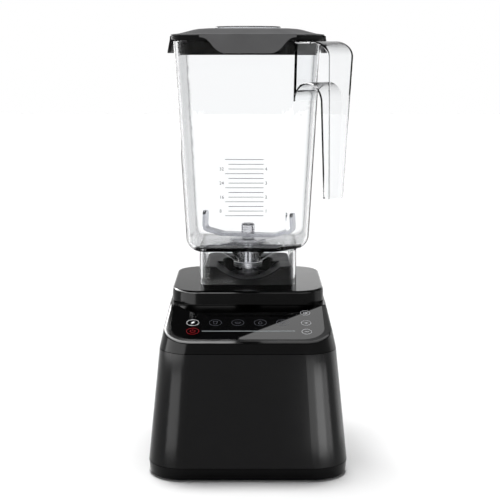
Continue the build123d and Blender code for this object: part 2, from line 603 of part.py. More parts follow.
with BuildPart() as lid_seal:
    # The black seal: a lip on the jar's rim with a hook each side, a ribbed skirt inside the jar
    # and a tube round the centre cap.
    plug_cut = JAR_CUT - (2 - sqrt(2)) * 6.0
    extrude(five_sided(380.3, 66.4, JAR_CUT - 0.6, JAR_R, JAR_CUT_R), amount=LIP_LOW - 380.3)
    extrude(
        five_sided(LIP_LOW, LID_HALF - 0.6, LID_CUT, LID_R, LID_R - 5), amount=LIP_TOP - LIP_LOW
    )
    with PolarLocations(0, 2, start_angle=90):
        add(seal_flap.part)
    extrude(five_sided(PLUG_LOW, PLUG_HALF, plug_cut, 13.0, 9.0), amount=LIP_LOW - PLUG_LOW)
    for low in (369.4, 372.8, 376.2):
        extrude(five_sided(low, PLUG_RIB_HALF, plug_cut + 0.9, 14.0, 10.0), amount=1.2)
    inner_cut = plug_cut - (2 - sqrt(2)) * PLUG_WALL
    extrude(
        five_sided(PLUG_LOW, PLUG_HALF - PLUG_WALL, inner_cut, 10.0, 6.0),
        amount=LIP_TOP - 2.4 - PLUG_LOW, mode=Mode.SUBTRACT,
    )
    with Locations((0, 0, PLUG_LOW)):
        Cylinder(CAP_HOLE_R + 2.8, LIP_TOP - PLUG_LOW, align=UP)
        Cylinder(CAP_HOLE_R, 30.0, align=UP, mode=Mode.SUBTRACT)

with BuildPart() as centre_cap:
    with Locations((0, 0, LID_TOP + 0.3)):
        Cylinder(CAP_FLANGE_R, CAP_TOP - LID_TOP - 0.3, align=UP)
    fillet(centre_cap.edges().group_by(Axis.Z)[-1], 0.9)
    with Locations((0, 0, CAP_LOW)):
        Cylinder(CAP_R, LID_TOP + 0.3 - CAP_LOW, align=UP)
        Cylinder(CAP_R - 2.2, LID_TOP - CAP_LOW, align=UP, mode=Mode.SUBTRACT)
    with PolarLocations(CAP_R - 2.2, 4):
        with Locations((0, 0, CAP_LOW)):
            Box(3.0, 7.0, 4.0, align=UP, mode=Mode.SUBTRACT)

for name, piece in {"lid": lid, "lid_seal": lid_seal, "centre_cap": centre_cap}.items():
    save(piece.part, name)

# ================================================================ motor: what turns
with BuildPart() as motor_shaft:
    with Locations((0, 0, MOTOR_SHAFT_LOW)):
        Cylinder(MOTOR_SHAFT_R, MOTOR_SHAFT_HIGH - MOTOR_SHAFT_LOW, align=UP)
    chamfer(motor_shaft.faces().sort_by(Axis.Z)[-1].edges(), 0.6)

SLOTS = 12

with BuildPart() as armature_core:
    with Locations((0, 0, CORE_LOW)):
        Cylinder(CORE_R, CORE_HIGH - CORE_LOW, align=UP)
        Cylinder(MOTOR_SHAFT_R + 0.3, CORE_HIGH - CORE_LOW, align=UP, mode=Mode.SUBTRACT)
    with BuildSketch(Plane.XY.offset(CORE_LOW)):
        with PolarLocations(18.5, SLOTS):
            SlotOverall(10.0, 5.0)
        with PolarLocations(24.5, SLOTS):
            Rectangle(6.0, 1.8)
    extrude(amount=CORE_HIGH - CORE_LOW, mode=Mode.SUBTRACT)

with BuildPart() as armature_windings:
    with BuildSketch(Plane.XY.offset(CORE_LOW - 1.0)):
        with PolarLocations(18.5, SLOTS):
            SlotOverall(9.2, 4.2)
    extrude(amount=CORE_HIGH - CORE_LOW + 2.0)
    # Domed end turns below and above the core.
    for low in (CORE_LOW - 9.5, CORE_HIGH + 0.4):
        with Locations((0, 0, low)):
            Cylinder(22.6, 9.1, align=UP)
    fillet(armature_windings.edges().filter_by(GeomType.CIRCLE).filter_by(
        lambda e: abs(e.radius - 22.6) < 0.01
        and (e.center().Z < CORE_LOW - 9 or e.center().Z > CORE_HIGH + 9)
    ), 4.0)
    with Locations((0, 0, CORE_LOW - 12)):
        Cylinder(7.0, 70.0, align=UP, mode=Mode.SUBTRACT)

with BuildPart() as commutator:
    with Locations((0, 0, COMM_LOW)):
        Cylinder(COMM_R, COMM_HIGH - COMM_LOW, align=UP)
        Cylinder(COMM_R + 1.6, 3.0, align=UP)
        Cylinder(MOTOR_SHAFT_R + 0.3, COMM_HIGH - COMM_LOW, align=UP, mode=Mode.SUBTRACT)
    with BuildSketch(Plane.XY.offset(COMM_LOW)):
        with PolarLocations(COMM_R + 0.6, 24):
            Rectangle(3.2, 0.7)
    extrude(amount=COMM_HIGH - COMM_LOW, mode=Mode.SUBTRACT)

with BuildPart() as cooling_fan:
    with Locations((0, 0, 28.0)):
        Cylinder(38.0, 1.4, align=UP)
    with Locations((0, 0, 21.0)):
        Cylinder(8.0, 8.4, align=UP)
    with BuildSketch(Plane.XY.offset(21.0)):
        with PolarLocations(23.0, 11):
            Rectangle(29.0, 1.6, rotation=18)
    extrude(amount=7.4)
    with Locations((0, 0, 20.0)):
        Cylinder(MOTOR_SHAFT_R + 0.3, 12.0, align=UP, mode=Mode.SUBTRACT)

with BuildPart() as drive_socket:
    with Locations((0, 0, SOCKET_LOW)):
        Cylinder(SOCKET_R - 1.6, 8.0, align=UP)
    with Locations((0, 0, SOCKET_LOW + 8.0)):
        Cylinder(SOCKET_R, SOCKET_HIGH - SOCKET_LOW - 8.0, align=UP)
    with Locations((0, 0, SOCKET_LOW)):
        Cylinder(
            MOTOR_SHAFT_R + 0.3, MOTOR_SHAFT_HIGH + 0.3 - SOCKET_LOW, align=UP, mode=Mode.SUBTRACT
        )
    gap = RUNNING_GAP
    with BuildSketch(Plane.XY.offset(MOTOR_SHAFT_HIGH + 1.8)):
        Circle(SPLINE_R + gap)
        with PolarLocations(SPLINE_R, SPLINE_TEETH):
            Rectangle(2 * (SPLINE_TOOTH + gap), SPLINE_TOOTH + 2 * gap)
    extrude(amount=SOCKET_HIGH - MOTOR_SHAFT_HIGH - 1.0, mode=Mode.SUBTRACT)

for name, piece in {
    "motor_shaft": motor_shaft, "armature_core": armature_core,
    "armature_windings": armature_windings, "commutator": commutator,
    "cooling_fan": cooling_fan, "drive_socket": drive_socket,
}.items():
    save(piece.part, name)

# ================================================================ motor: what stands still
with BuildPart() as field_stack:
    with BuildSketch(Plane.XY.offset(CORE_LOW)):
        RectangleRounded(2 * YOKE_X, 2 * YOKE_Y, 10.0)
        RectangleRounded(
            2 * (YOKE_X - YOKE_WALL), 2 * (YOKE_Y - YOKE_WALL), 7.0, mode=Mode.SUBTRACT
        )
        for side in (-1, 1):
            with Locations((side * 36.0, 0)):
                Rectangle(14.0, 24.0)
        with Locations((0, 0)):
            Circle(31.0)
            Circle(POLE_R, mode=Mode.SUBTRACT)
        for side in (-1, 1):
            with Locations((0, side * 30.0)):
                Rectangle(34.0, 20.0, mode=Mode.SUBTRACT)
        for side in (-1, 1):
            with Locations((0, side * (YOKE_Y - YOKE_WALL / 2))):
                Rectangle(60.0, YOKE_WALL)
        for x, y in BOLTS:
            with Locations((x, y)):
                Circle(LEG_R + 1.2)
        with Locations(*BOLTS):
            Circle(BOLT_HOLE_R, mode=Mode.SUBTRACT)
    extrude(amount=CORE_HIGH - CORE_LOW)

with BuildPart() as field_coils:
    for side in (-1, 1):
        with BuildSketch(Plane.YZ.offset(side * 36.8)):
            with Locations((0, (CORE_LOW + CORE_HIGH) / 2)):
                RectangleRounded(44.0, CORE_HIGH - CORE_LOW + 15.0, 7.0)
                Rectangle(24.8, CORE_HIGH - CORE_LOW + 0.8, mode=Mode.SUBTRACT)
        extrude(amount=4.8, both=True)

with BuildPart() as upper_bracket:
    with BuildSketch(Plane.XY.offset(UPPER_PLATE[0])):
        Circle(17.0)
        for angle in (atan2(BOLT_Y, BOLT_X), -atan2(BOLT_Y, BOLT_X)):
            SlotOverall(2 * sqrt(BOLT_X ** 2 + BOLT_Y ** 2) + 11, 11, rotation=degrees(angle))
    extrude(amount=UPPER_PLATE[1] - UPPER_PLATE[0])
    with Locations((0, 0, UPPER_BEARING[0] - 0.8)):
        Cylinder(BEARING_R + 3.4, UPPER_PLATE[0] - UPPER_BEARING[0] + 0.8, align=UP)
    with Locations(*[(x, y, CORE_HIGH + 0.3) for x, y in BOLTS]):
        Cylinder(LEG_R, UPPER_PLATE[0] - CORE_HIGH - 0.3, align=UP)
    with Locations((0, 0, UPPER_BEARING[0] - 1.0)):
        Cylinder(BEARING_R + 0.3, UPPER_BEARING[1] - UPPER_BEARING[0] + 1.3, align=UP, mode=Mode.SUBTRACT)
        Cylinder(7.0, 20.0, align=UP, mode=Mode.SUBTRACT)
    with Locations(*[(x, y, 80.0) for x, y in BOLTS]):
        Cylinder(BOLT_HOLE_R, 60.0, align=UP, mode=Mode.SUBTRACT)
    with Locations((0, 0, 137.2)):
        Cylinder(SOCKET_R + 0.6, 2.0, align=UP, mode=Mode.SUBTRACT)

with BuildPart() as lower_bracket:
    with BuildSketch(Plane.XY.offset(LOWER_PLATE[0])):
        Circle(17.0)
        for angle in (atan2(BOLT_Y, BOLT_X), -atan2(BOLT_Y, BOLT_X)):
            SlotOverall(2 * sqrt(BOLT_X ** 2 + BOLT_Y ** 2) + 11, 11, rotation=degrees(angle))
    extrude(amount=LOWER_PLATE[1] - LOWER_PLATE[0])
    with Locations((0, 0, LOWER_BEARING[0] - 1.6)):
        Cylinder(BEARING_R + 3.4, LOWER_PLATE[0] - LOWER_BEARING[0] + 1.6, align=UP)
    with Locations(*[(x, y, LOWER_PLATE[1]) for x, y in BOLTS]):
        Cylinder(LEG_R, CORE_LOW - 0.3 - LOWER_PLATE[1], align=UP)
    with Locations((0, 0, LOWER_BEARING[0] - 0.3)):
        Cylinder(BEARING_R + 0.3, 20.0, align=UP, mode=Mode.SUBTRACT)
    with Locations(*[(x, y, 10.0) for x, y in BOLTS]):
        Cylinder(BOLT_HOLE_R, 40.0, align=UP, mode=Mode.SUBTRACT)

with BuildPart() as motor_bearings:
    for low, high in (UPPER_BEARING, LOWER_BEARING):
        with Locations((0, 0, low)):
            Cylinder(BEARING_R, high - low, align=UP)
            Cylinder(MOTOR_SHAFT_R + RUNNING_GAP, high - low, align=UP, mode=Mode.SUBTRACT)
        with BuildSketch(Plane.XY.offset(high - 0.8)):
            Circle(9.2)
            Circle(6.0, mode=Mode.SUBTRACT)
        extrude(amount=0.8, mode=Mode.SUBTRACT)

with BuildPart() as motor_bolts:
    with Locations(*[(x, y, 13.0) for x, y in BOLTS]):
        Cylinder(3.8, 2.7, align=UP)
    with Locations(*[(x, y, 15.0) for x, y in BOLTS]):
        Cylinder(BOLT_R, 134.0, align=UP)

with BuildPart() as motor_grommets:
    for x, y in BOLTS:
        with Locations((x, y, UPPER_PLATE[1] + 0.3)):
            Cylinder(6.6, 3.4, align=UP)
            Cylinder(BOLT_HOLE_R, 3.4, align=UP, mode=Mode.SUBTRACT)

with BuildPart() as brush_carrier:
    with BuildSketch(Plane.XY.offset(98.0)):
        RectangleRounded(100.0, 76.0, 10.0)
        Circle(20.0, mode=Mode.SUBTRACT)
        with Locations(*BOLTS):
            Circle(LEG_R + 0.3, mode=Mode.SUBTRACT)
        for side in (-1, 1):
            with Locations((0, side * 29.0)):
                SlotOverall(46.0, 7.0, mode=Mode.SUBTRACT)
    extrude(amount=2.6)
    with Locations((-30.0, 0, 100.6), (30.0, 0, 100.6)):
        Box(16.0, 16.0, 6.1, align=UP)

with BuildPart() as brush_holders:
    for side in (-1, 1):
        with Locations((side * 31.0, 0, 107.0)):
            Box(24.0, 12.0, 12.0, align=UP)
        with Locations((side * 29.0, 0, 108.7)):
            Box(24.0, 8.6, 8.6, align=UP, mode=Mode.SUBTRACT)

with BuildPart() as carbon_brushes:
    for side in (-1, 1):
        with Locations((side * 22.3, 0, 109.0)):
            Box(12.0, 8.0, 8.0, align=UP)

with BuildPart() as brush_springs:
    for side in (-1, 1):
        for step in range(5):
            with Locations(Pos(side * (30.2 + 2.0 * step), 0, 113.0) * Rot(0, 90, 0)):
                Torus(2.8, 0.5)
        with Locations((side * 34.2, 0, 110.2)):
            Box(9.0, 0.8, 0.8)

for name, piece in {
    "field_stack": field_stack, "field_coils": field_coils, "upper_bracket": upper_bracket,
    "lower_bracket": lower_bracket, "motor_bearings": motor_bearings, "motor_bolts": motor_bolts,
    "motor_grommets": motor_grommets, "brush_carrier": brush_carrier,
    "brush_holders": brush_holders, "carbon_brushes": carbon_brushes,
    "brush_springs": brush_springs,
}.items():
    save(piece.part, name)

# ================================================================ electronics
with BuildPart() as power_board:
    with BuildSketch(Plane.XY.offset(BOARD_Z)):
        with Locations((0, -92)):
            RectangleRounded(116.0, 64.0, 3.0)
    extrude(amount=1.6)
    with Locations((-35, -104, 17.4)):
        Box(26.0, 30.0, 24.0, align=UP)
    with Locations((-38, -76, 17.4)):
        Box(16.0, 12.0, 15.0, align=UP)
    with Locations((-12, -104, 17.4), (4, -104, 17.4)):
        Cylinder(6.5, 22.0, align=UP)
    with Locations((36, -78, 17.4)):
        Box(30.0, 12.0, 10.0, align=UP)

with BuildPart() as heat_sink:
    with Locations((30.0, -104.0, 17.7)):
        Box(34.0, 3.0, 30.0, align=UP)
    with BuildSketch(Plane.XY.offset(17.7)):
        with Locations((30.0, -98.0)):
            with GridLocations(4.2, 0, 8, 1):
                Rectangle(1.4, 10.0)
    extrude(amount=30.0)

with BuildPart() as board_screws:
    with Locations(*[(x, y, 17.7) for x, y in BOARD_POSTS]):
        Cylinder(2.6, 1.6, align=UP)

with BuildPart() as control_board:
    with BuildSketch(panel_plane(9.0)):
        with Locations((0, 32)):
            RectangleRounded(106.0, 46.0, 3.0)
    extrude(amount=-1.6)
    with BuildSketch(panel_plane(10.6)):
        with Locations((-20, 32)):
            Rectangle(14.0, 14.0)
        with Locations((22, 30)):
            Rectangle(24.0, 8.0)
        with Locations((44, 34), (-44, 34)):
            Rectangle(8.0, 12.0)
    extrude(amount=-2.4)

for name, piece in {
    "power_board": power_board, "heat_sink": heat_sink, "board_screws": board_screws,
    "control_board": control_board,
}.items():
    save(piece.part, name)
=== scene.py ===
"""Looks for the countertop blender: materials for every CAD node, the jar's printed scale, the
touch panel's lit graphics, a pale studio and the camera. Lengths are in metres."""

import json
import math

import bmesh
import bpy
from mathutils import Euler, Matrix, Vector


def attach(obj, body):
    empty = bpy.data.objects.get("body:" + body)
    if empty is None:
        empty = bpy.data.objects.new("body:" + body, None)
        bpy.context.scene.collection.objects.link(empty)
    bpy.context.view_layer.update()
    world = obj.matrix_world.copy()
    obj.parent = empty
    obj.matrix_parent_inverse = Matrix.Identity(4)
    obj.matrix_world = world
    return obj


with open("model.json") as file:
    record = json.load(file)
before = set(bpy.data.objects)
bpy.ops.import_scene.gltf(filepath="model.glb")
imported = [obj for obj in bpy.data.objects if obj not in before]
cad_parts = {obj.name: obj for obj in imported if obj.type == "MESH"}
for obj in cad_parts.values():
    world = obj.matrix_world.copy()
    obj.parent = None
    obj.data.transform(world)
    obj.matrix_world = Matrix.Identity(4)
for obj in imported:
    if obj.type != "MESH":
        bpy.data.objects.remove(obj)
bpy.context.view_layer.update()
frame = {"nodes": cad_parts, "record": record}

MM = 0.001
# A wave texture's scale times its bands' pitch
BAND_PITCH = 0.314

# Sizes shared with the CAD model
JAR_UNDER, JAR_RIM = 186.5 * MM, 380.0 * MM
JAR_HALF_LOW, JAR_HALF_RIM = 56.8 * MM, 67.2 * MM
PANEL_FRONT = Vector((0, -138.0 * MM, 124.2 * MM))
PANEL_TILT = math.atan2(142.8 - 124.2, 138.0 - 74.2)


def jar_half(z):
    """The jar's outer half-width at height z."""
    return JAR_HALF_LOW + (z - JAR_UNDER) / (JAR_RIM - JAR_UNDER) * (JAR_HALF_RIM - JAR_HALF_LOW)


# ---------------------------------------------------------------- material helpers
class Nodes:
    """A new material's node tree, with short calls for the nodes used here."""

    def __init__(self, name):
        self.material = bpy.data.materials.new(name)
        self.material.use_nodes = True
        self.tree = self.material.node_tree
        self.shader = self.tree.nodes["Principled BSDF"]
        self.place = self.tree.nodes.new("ShaderNodeTexCoord").outputs["Object"]

    def set(self, **values):
        """Set shader inputs; underscores stand for spaces."""
        for name, value in values.items():
            self.shader.inputs[name.replace("_", " ")].default_value = value

    def link(self, output, name):
        """Drive one of the shader's inputs."""
        self.tree.links.new(output, self.shader.inputs[name])

    def noise(self, scale, detail=3.0, stretch=(1, 1, 1)):
        """Noise in object space, finer for a larger scale."""
        mapping = self.tree.nodes.new("ShaderNodeMapping")
        mapping.inputs["Scale"].default_value = stretch
        self.tree.links.new(self.place, mapping.inputs["Vector"])
        node = self.tree.nodes.new("ShaderNodeTexNoise")
        node.inputs["Scale"].default_value = scale
        node.inputs["Detail"].default_value = detail
        self.tree.links.new(mapping.outputs["Vector"], node.inputs["Vector"])
        return node.outputs["Fac"]

    def ramp(self, source, low, high, start=0.3, end=0.7):
        """A colour ramp between two colours, or between two grey levels."""
        node = self.tree.nodes.new("ShaderNodeValToRGB")
        for stop, place, colour in ((0, start, low), (1, end, high)):
            element = node.color_ramp.elements[stop]
            element.position = place
            rgb = colour if isinstance(colour, tuple) else (colour, colour, colour)
            element.color = (*rgb, 1.0)
        self.tree.links.new(source, node.inputs["Fac"])
        return node.outputs["Color"]

    def bump(self, source, strength, distance=0.0005):
        """Add a bump to the shader's normal, on top of any earlier one."""
        node = self.tree.nodes.new("ShaderNodeBump")
        node.inputs["Strength"].default_value = strength
        node.inputs["Distance"].default_value = distance
        self.tree.links.new(source, node.inputs["Height"])
        normal = self.shader.inputs["Normal"]
        if normal.is_linked:
            self.tree.links.new(normal.links[0].from_socket, node.inputs["Normal"])
        self.link(node.outputs["Normal"], "Normal")


def moulded(name, colour, roughness, grain=900.0, strength=0.05, specular=0.3, spread=0.04):
    """Moulded plastic or rubber: a fine surface grain and slightly uneven gloss."""
    n = Nodes(name)
    lighter = tuple(min(c * 1.18, 1.0) for c in colour)
    n.link(n.ramp(n.noise(34.0), colour, lighter), "Base Color")
    n.link(n.ramp(n.noise(60.0, 4.0), roughness - spread, roughness + spread), "Roughness")
    n.set(Specular_IOR_Level=specular)
    n.bump(n.noise(grain, 2.0), strength, 0.0002)
    return n.material


def turned(name, colour, roughness, stretch=(1, 1, 30), scale=40.0, strength=0.12):
    """Machined metal, with the fine lines of turning or rolling."""
    n = Nodes(name)
    lines = n.noise(scale, 4.0, stretch)
    darker = tuple(c * 0.82 for c in colour)
    n.link(n.ramp(lines, darker, colour), "Base Color")
    n.link(n.ramp(lines, roughness * 0.8, roughness * 1.25), "Roughness")
    n.set(Metallic=1.0)
    n.bump(lines, strength, 0.0002)
    return n.material


def laminated(name, colour, pitch):
    """Stacked steel sheets: dark joints between thin bright edges, one every pitch."""
    n = Nodes(name)
    wave = n.tree.nodes.new("ShaderNodeTexWave")
    wave.bands_direction = "Z"
    wave.inputs["Scale"].default_value = BAND_PITCH / pitch
    wave.inputs["Distortion"].default_value = 0.15
    n.tree.links.new(n.place, wave.inputs["Vector"])
    dark = tuple(c * 0.35 for c in colour)
    n.link(n.ramp(wave.outputs["Fac"], dark, colour, 0.1, 0.4), "Base Color")
    n.set(Metallic=0.9, Roughness=0.38)
    n.bump(wave.outputs["Fac"], 0.5, 0.0002)
    return n.material


def wound(name, colour, pitch):
    """Enamelled wire laid side by side, with some turns darker than others."""
    n = Nodes(name)
    wave = n.tree.nodes.new("ShaderNodeTexWave")
    wave.bands_direction = "DIAGONAL"
    wave.inputs["Scale"].default_value = BAND_PITCH / pitch
    wave.inputs["Distortion"].default_value = 1.2
    n.tree.links.new(n.place, wave.inputs["Vector"])
    dark = tuple(c * 0.3 for c in colour)
    n.link(n.ramp(wave.outputs["Fac"], dark, colour, 0.15, 0.6), "Base Color")
    n.set(Metallic=0.55, Roughness=0.32, Coat_Weight=0.6)
    n.bump(wave.outputs["Fac"], 0.8, 0.0006)
    return n.material


def circuit_board(name):
    """Green solder resist with lighter copper tracks under it."""
    n = Nodes(name)
    cells = n.tree.nodes.new("ShaderNodeTexVoronoi")
    cells.feature = "DISTANCE_TO_EDGE"
    cells.inputs["Scale"].default_value = 150.0
    n.tree.links.new(n.place, cells.inputs["Vector"])
    tracks = n.ramp(cells.outputs["Distance"], (0.05, 0.2, 0.08), (0.012, 0.085, 0.03), 0.03, 0.09)
    n.link(tracks, "Base Color")
    n.set(Roughness=0.4)
    n.bump(cells.outputs["Distance"], 0.2, 0.0003)
    return n.material


def clear_with_painted_edge_shade(name, tint, edge, roughness, gloss, ior=1.45, edge_from=0.4):
    """Clear moulded plastic with a faintly uneven surface, its colour painted darker where it's
    seen edge-on: painted shade for the dark lines its edges show.
    """
    n = Nodes(name)
    facing = n.tree.nodes.new("ShaderNodeLayerWeight").outputs["Facing"]
    # Painted shade: the colour darkens from tint to edge as the surface turns edge-on
    n.link(n.ramp(facing, tint, edge, edge_from, 0.95), "Base Color")
    n.set(Transmission_Weight=1.0, Roughness=roughness, IOR=ior)
    n.set(Specular_Tint=(gloss, gloss, gloss, 1.0))
    n.bump(n.noise(18.0, 2.0), 0.02, 0.0006)
    return n.material


def glowing(name, colour, strength):
    """A lit mark behind the panel's glass: a bright middle with a slightly uneven glow."""
    n = Nodes(name)
    n.link(n.ramp(n.noise(400.0), tuple(c * 0.85 for c in colour), colour), "Emission Color")
    n.set(Base_Color=(*colour, 1.0), Emission_Strength=strength, Roughness=0.4)
    return n.material


def ink(name, colour):
    """Printed ink, slightly mottled."""
    n = Nodes(name)
    n.link(n.ramp(n.noise(700.0), colour, tuple(c * 1.5 for c in colour)), "Base Color")
    n.link(n.ramp(n.noise(300.0), 0.42, 0.58), "Roughness")
    return n.material


# ---------------------------------------------------------------- materials by slot
CLEAR = (0.97, 0.975, 0.98)
MATERIALS = {
    "base_plastic": moulded(
        "base_plastic", (0.0008, 0.0008, 0.0009), 0.2, grain=900.0, strength=0.03, specular=0.1
    ),
    "foot_rubber": moulded("foot_rubber", (0.008, 0.008, 0.008), 0.8, 500.0, 0.2),
    "zinc_steel": turned("zinc_steel", (0.55, 0.55, 0.53), 0.35),
    "housing_black": moulded(
        "housing_black", (0.0035, 0.0035, 0.0038), 0.2, 1200.0, 0.02, specular=0.115, spread=0.02
    ),
    "gland_rubber": moulded("gland_rubber", (0.008, 0.008, 0.008), 0.7, 500.0, 0.2),
    "cover_black": moulded(
        "cover_black", (0.0014, 0.0014, 0.0015), 0.16, 1200.0, 0.02, specular=0.075, spread=0.02
    ),
    "panel_black": moulded(
        "panel_black", (0.0006, 0.0006, 0.0007), 0.035, 90.0, 0.0, specular=0.5, spread=0.004
    ),
    "seat_black": moulded("seat_black", (0.006, 0.006, 0.0063), 0.4, 900.0, 0.06, 0.15),
    "core_steel": laminated("core_steel", (0.45, 0.46, 0.48), 0.0007),
    "copper": wound("copper", (0.66, 0.24, 0.08), 0.0011),
    "bracket_aluminium": turned(
        "bracket_aluminium", (0.6, 0.61, 0.62), 0.45, stretch=(1, 1, 1), scale=500.0, strength=0.3
    ),
    "bearing_steel": turned("bearing_steel", (0.66, 0.66, 0.67), 0.18),
    "carrier_plastic": moulded("carrier_plastic", (0.06, 0.04, 0.025), 0.5, 500.0, 0.15),
    "brass": turned("brass", (0.7, 0.5, 0.2), 0.3),
    "carbon": moulded("carbon", (0.012, 0.012, 0.013), 0.65, 1500.0, 0.3),
    "board_green": circuit_board("board_green"),
    "shaft_steel": turned("shaft_steel", (0.6, 0.6, 0.61), 0.25),
    "commutator_copper": turned("commutator_copper", (0.76, 0.4, 0.2), 0.25),
    "fan_plastic": moulded("fan_plastic", (0.02, 0.02, 0.021), 0.5),
    "socket_steel": turned("socket_steel", (0.32, 0.32, 0.33), 0.4),
    "clear_jar": clear_with_painted_edge_shade("clear_jar", CLEAR, (0.04, 0.042, 0.046), 0.0, 0.12),
    "stainless": turned("stainless", (0.72, 0.72, 0.75), 0.26),
    "seal_rubber": moulded("seal_rubber", (0.01, 0.01, 0.01), 0.7, 500.0, 0.2),
    "blade_steel": turned("blade_steel", (0.56, 0.57, 0.61), 0.2, (30, 30, 1)),
    "lid_grey": moulded("lid_grey", (0.115, 0.115, 0.117), 0.5, 1400.0, 0.08, 0.25),
    "plug_black": moulded("plug_black", (0.0025, 0.0025, 0.0026), 0.45, 900.0, 0.05, 0.1),
    "clear_cap": clear_with_painted_edge_shade("clear_cap", (0.76, 0.78, 0.80), (0.08, 0.08, 0.09), 0.03, 0.5),
}

record = frame["record"]
slot_of = {part["node"]: part["material_slot"] for part in record["subparts"]}
for name, node in frame["nodes"].items():
    node.data.materials.clear()
    node.data.materials.append(MATERIALS[slot_of[name]])
# The handle's wall is thinner, and it gets paler painted edge shade than the jar's
handle_plastic = clear_with_painted_edge_shade(
    "clear_handle", CLEAR, (0.2, 0.205, 0.21), 0.0, 0.12, edge_from=0.3
)
frame["nodes"]["jar_handle"].data.materials[0] = handle_plastic


# ---------------------------------------------------------------- mesh helpers
def finish_piece(name, mesh, material, body):
    """Make an object of a finished bmesh and tie it to its body."""
    data = bpy.data.meshes.new(name)
    mesh.to_mesh(data)
    mesh.free()
    data.materials.append(material)
    piece = bpy.data.objects.new(name, data)
    bpy.context.scene.collection.objects.link(piece)
    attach(piece, body)
    return piece


def add_bar(mesh, start, end, width, thick, place):
    """A flat bar with half-round ends from start to end, on the plane that place gives."""
    direction = (Vector(end) - Vector(start)).normalized()
    side = Vector((-direction.y, direction.x)) * width / 2
    rim = []
    for centre, first in ((Vector(end), -90), (Vector(start), 90)):
        for step in range(9):
            angle = math.radians(first + step * 180 / 8)
            point = centre + direction * math.cos(angle) * width / 2 + side * math.sin(angle)
            rim.append(point)
    add_prism(mesh, rim, thick, place)


def add_prism(mesh, outline, thick, place):
    """A thin prism over a closed outline given on the plane that place gives."""
    low = [mesh.verts.new(place @ Vector((p[0], p[1], 0))) for p in outline]
    high = [mesh.verts.new(place @ Vector((p[0], p[1], thick))) for p in outline]
    mesh.faces.new(high)
    mesh.faces.new(low[::-1])
    count = len(outline)
    for i in range(count):
        j = (i + 1) % count
        mesh.faces.new((low[i], low[j], high[j], high[i]))


def add_ring(mesh, centre, radius, width, thick, place, start=0.0, sweep=360.0, steps=48):
    """A flat ring, or an arc of one, on the plane that place gives."""
    closed = sweep >= 360.0
    count = steps if closed else steps + 1
    rows = []
    for step in range(count):
        angle = math.radians(start + sweep * step / steps)
        direction = Vector((math.cos(angle), math.sin(angle)))
        row = []
        for r, h in (
            (radius - width / 2, 0), (radius + width / 2, 0),
            (radius + width / 2, thick), (radius - width / 2, thick),
        ):
            p = Vector(centre) + direction * r
            row.append(mesh.verts.new(place @ Vector((p.x, p.y, h))))
        rows.append(row)
    for step in range(steps):
        a, b = rows[step], rows[(step + 1) % count]
        for k in range(4):
            mesh.faces.new((a[k], b[k], b[(k + 1) % 4], a[(k + 1) % 4]))
    if not closed:
        mesh.faces.new(rows[0])
        mesh.faces.new(rows[-1][::-1])


# ---------------------------------------------------------------- touch panel graphics
PANEL_GAP, MARK_THICK = 0.02 * MM, 0.08 * MM
panel_place = (
    Matrix.Translation(PANEL_FRONT)
    @ Matrix.Rotation(PANEL_TILT, 4, "X")
    @ Matrix.Translation((0, 0, -0.1 * MM + PANEL_GAP))
)
RING_R, SIDE_RING_R, RING_W, LINE_W = 5.4 * MM, 4.3 * MM, 0.25 * MM, 0.28 * MM
ROW_V, ROW_U = 32.9 * MM, (-48.8 * MM, -28.8 * MM, -8.9 * MM, 11.0 * MM, 30.8 * MM)
SIDE_U, SIDE_V = 51.6 * MM, (50.8 * MM, 32.4 * MM, 16.8 * MM)
POWER_U, SLIDER_V = -48.3 * MM, 17.7 * MM


def glyph(mesh, kind, centre, r):
    """A small generic symbol inside a ring of radius r."""
    cx, cy = centre

    def bar(x0, y0, x1, y1, width=LINE_W):
        start, end = (cx + x0 * r, cy + y0 * r), (cx + x1 * r, cy + y1 * r)
        add_bar(mesh, start, end, width, MARK_THICK, panel_place)

    if kind == "bolt":
        shape = ((0.34, 0.6), (-0.34, -0.02), (0.0, -0.02), (-0.34, -0.6), (0.34, 0.1), (0.04, 0.1))
        points = [(cx + x * r, cy + y * r) for x, y in shape]
        add_prism(mesh, points, MARK_THICK, panel_place)
    elif kind == "power":
        add_ring(mesh, centre, 0.42 * r, LINE_W, MARK_THICK, panel_place, 120, 300, 24)
        bar(0, 0.12, 0, 0.6)
    elif kind == "glass":
        bar(-0.34, 0.45, -0.22, -0.45)
        bar(0.34, 0.45, 0.22, -0.45)
        bar(-0.22, -0.45, 0.22, -0.45)
        bar(-0.34, 0.45, 0.34, 0.45)
    elif kind == "bowl":
        add_ring(mesh, (cx, cy + 0.15 * r), 0.46 * r, LINE_W, MARK_THICK, panel_place, 180, 180, 16)
        bar(-0.46, 0.15, 0.46, 0.15)
    elif kind == "drop":
        bar(0, 0.55, -0.3, -0.05)
        bar(0, 0.55, 0.3, -0.05)
        add_ring(mesh, (cx, cy - 0.15 * r), 0.32 * r, LINE_W, MARK_THICK, panel_place, 170, 200, 16)
    elif kind == "leaf":
        add_ring(mesh, (cx, cy - 0.3 * r), 0.62 * r, LINE_W, MARK_THICK, panel_place, 35, 110, 16)
        add_ring(mesh, (cx, cy + 0.4 * r), 0.62 * r, LINE_W, MARK_THICK, panel_place, 215, 110, 16)
        bar(-0.5, -0.4, 0.1, 0.1)
    elif kind == "plus":
        bar(-0.4, 0, 0.4, 0)
        bar(0, -0.4, 0, 0.4)
    elif kind == "minus":
        bar(-0.4, 0, 0.4, 0)
    elif kind == "timer":
        add_ring(mesh, (cx, cy - 0.05 * r), 0.4 * r, LINE_W, MARK_THICK, panel_place, 0, 360, 24)
        bar(0, -0.05, 0, 0.25)
        bar(0, -0.05, 0.18, -0.05)


def ring_icon(mesh, kind, centre, radius):
    """One round touch key: its ring and its symbol."""
    add_ring(mesh, centre, radius, RING_W, MARK_THICK, panel_place)
    glyph(mesh, kind, centre, radius)


